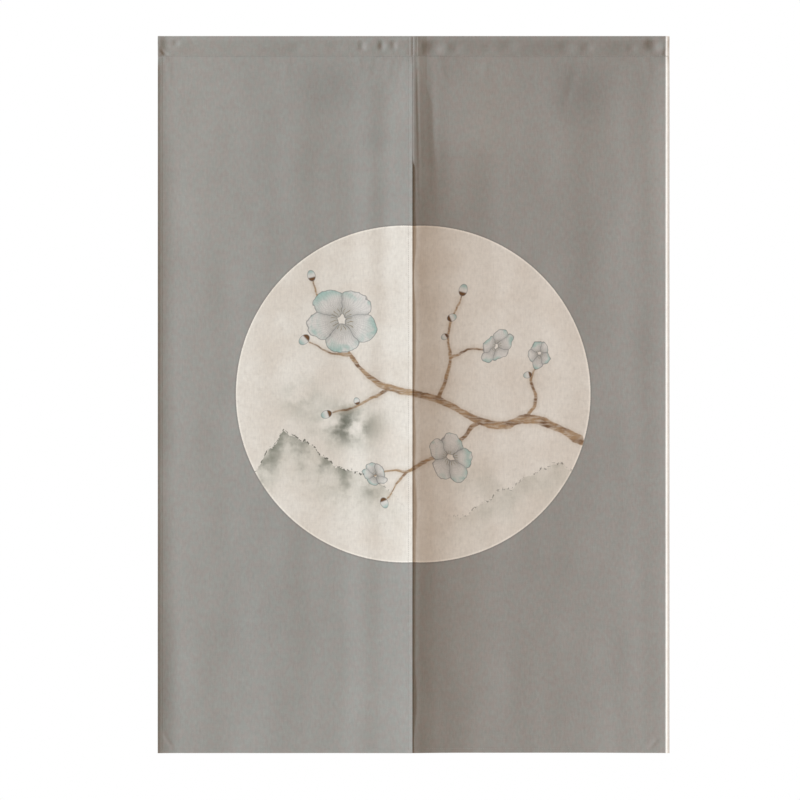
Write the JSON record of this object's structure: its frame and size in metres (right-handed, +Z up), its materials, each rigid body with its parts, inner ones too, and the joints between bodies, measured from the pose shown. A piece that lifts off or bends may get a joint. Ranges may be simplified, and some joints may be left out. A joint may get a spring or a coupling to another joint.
{
  "type": "noren curtain",
  "caption": "Doorway curtain of plain-weave cloth with a pale printed round, sewn together at the top of its slit and hung by a rod pocket.",
  "frame": {"origin": "middle of the top edge, over the line of the rod", "axes": "+Z up along the drop, -Y out of the front, +X to the right as seen from the front"},
  "size_m": [0.8561, 0.0182, 1.2],
  "materials": {
    "printed_cloth": "matt plain weave, grey print with a pale round",
    "pocket_cloth": "matt plain weave, grey print",
    "thread": "fine sewing thread"
  },
  "bodies": {
    "root": {"panel_left": "printed_cloth", "panel_right": "printed_cloth", "pocket_left": "pocket_cloth", "pocket_right": "pocket_cloth"}
  },
  "joints": []
}
